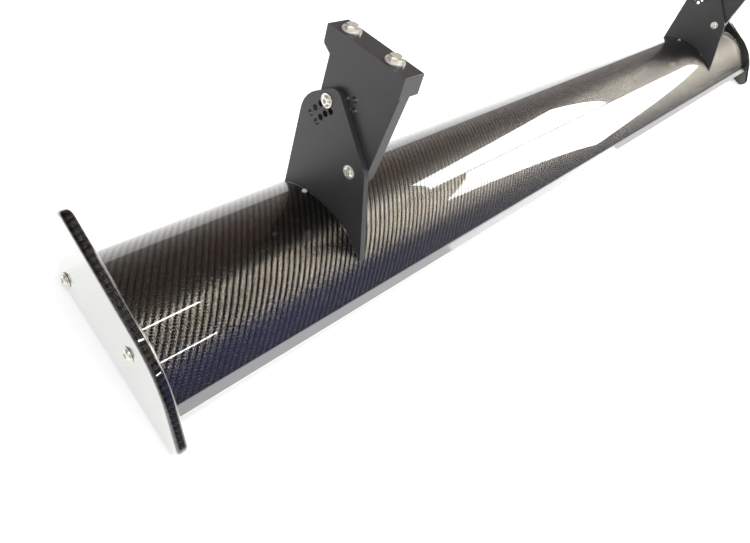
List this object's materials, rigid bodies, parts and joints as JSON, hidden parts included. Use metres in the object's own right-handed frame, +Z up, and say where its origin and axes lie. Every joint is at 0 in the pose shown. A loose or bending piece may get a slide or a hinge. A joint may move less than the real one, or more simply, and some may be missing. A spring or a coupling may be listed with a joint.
{
  "type": "rear wing",
  "caption": "Single-element rear wing with end plates, bonded brackets and two angle-adjustable legs, stored feet up on its end plates.",
  "frame": {"origin": "centre of the footprint, on the level the end plates stand on", "axes": "+X along the span, +Y from the trailing edge to the leading edge, +Z up as stored (feet up)"},
  "size_m": [1.5066, 0.219, 0.2291],
  "materials": {
    "carbon_weave": "glossy lacquer over a twill carbon weave",
    "carbon_lower": "glossy lacquer over a twill carbon weave",
    "carbon_plate": "glossy lacquer over a twill carbon weave with rolled edges",
    "carbon_tube": "pultruded carbon tube, ground",
    "foam": "closed-cell foam, cut",
    "rib_aluminium": "milled",
    "rivet": "dome head, plain",
    "black_anodised": "satin black coat on aluminium",
    "stainless": "bright stainless steel",
    "stainless_washer": "bright stainless steel, flat"
  },
  "bodies": {
    "wing": {"suction_skin": "carbon_weave", "pressure_skin": "carbon_lower", "foam_formers": "foam", "front_spar": "carbon_tube", "rear_spar": "carbon_tube", "end_rib_left": "rib_aluminium", "end_rib_right": "rib_aluminium", "mount_rib_left": "rib_aluminium", "mount_rib_right": "rib_aluminium", "rib_rivets": "rivet", "end_plate_left": "carbon_plate", "plate_screws_left": "stainless", "bracket_left": "black_anodised", "pivot_screw_left": "stainless", "pivot_washer_left": "stainless_washer", "pivot_nut_left": "stainless", "lock_screw_left": "stainless", "lock_washer_left": "stainless_washer", "lock_nut_left": "stainless", "end_plate_right": "carbon_plate", "plate_screws_right": "stainless", "bracket_right": "black_anodised", "pivot_screw_right": "stainless", "pivot_washer_right": "stainless_washer", "pivot_nut_right": "stainless", "lock_screw_right": "stainless", "lock_washer_right": "stainless_washer", "lock_nut_right": "stainless"},
    "leg_left": {"leg_left": "black_anodised", "foot_bolts_left": "stainless", "foot_washers_left": "stainless_washer"},
    "leg_right": {"leg_right": "black_anodised", "foot_bolts_right": "stainless", "foot_washers_right": "stainless_washer"}
  },
  "joints": [
    {"name": "leg_left_turn", "type": "hinge", "parent": "wing", "child": "leg_left", "pos_m": [-0.51285, 0.01296, 0.11481], "axis": [1, 0, 0], "range_deg": [-10, 0]},
    {"name": "leg_right_turn", "type": "hinge", "parent": "wing", "child": "leg_right", "pos_m": [0.51915, 0.01296, 0.11481], "axis": [1, 0, 0], "range_deg": [-10, 0]}
  ],
  "couplings": [
    {"joint": "leg_right_turn", "follows": "leg_left_turn", "ratio": 1}
  ]
}
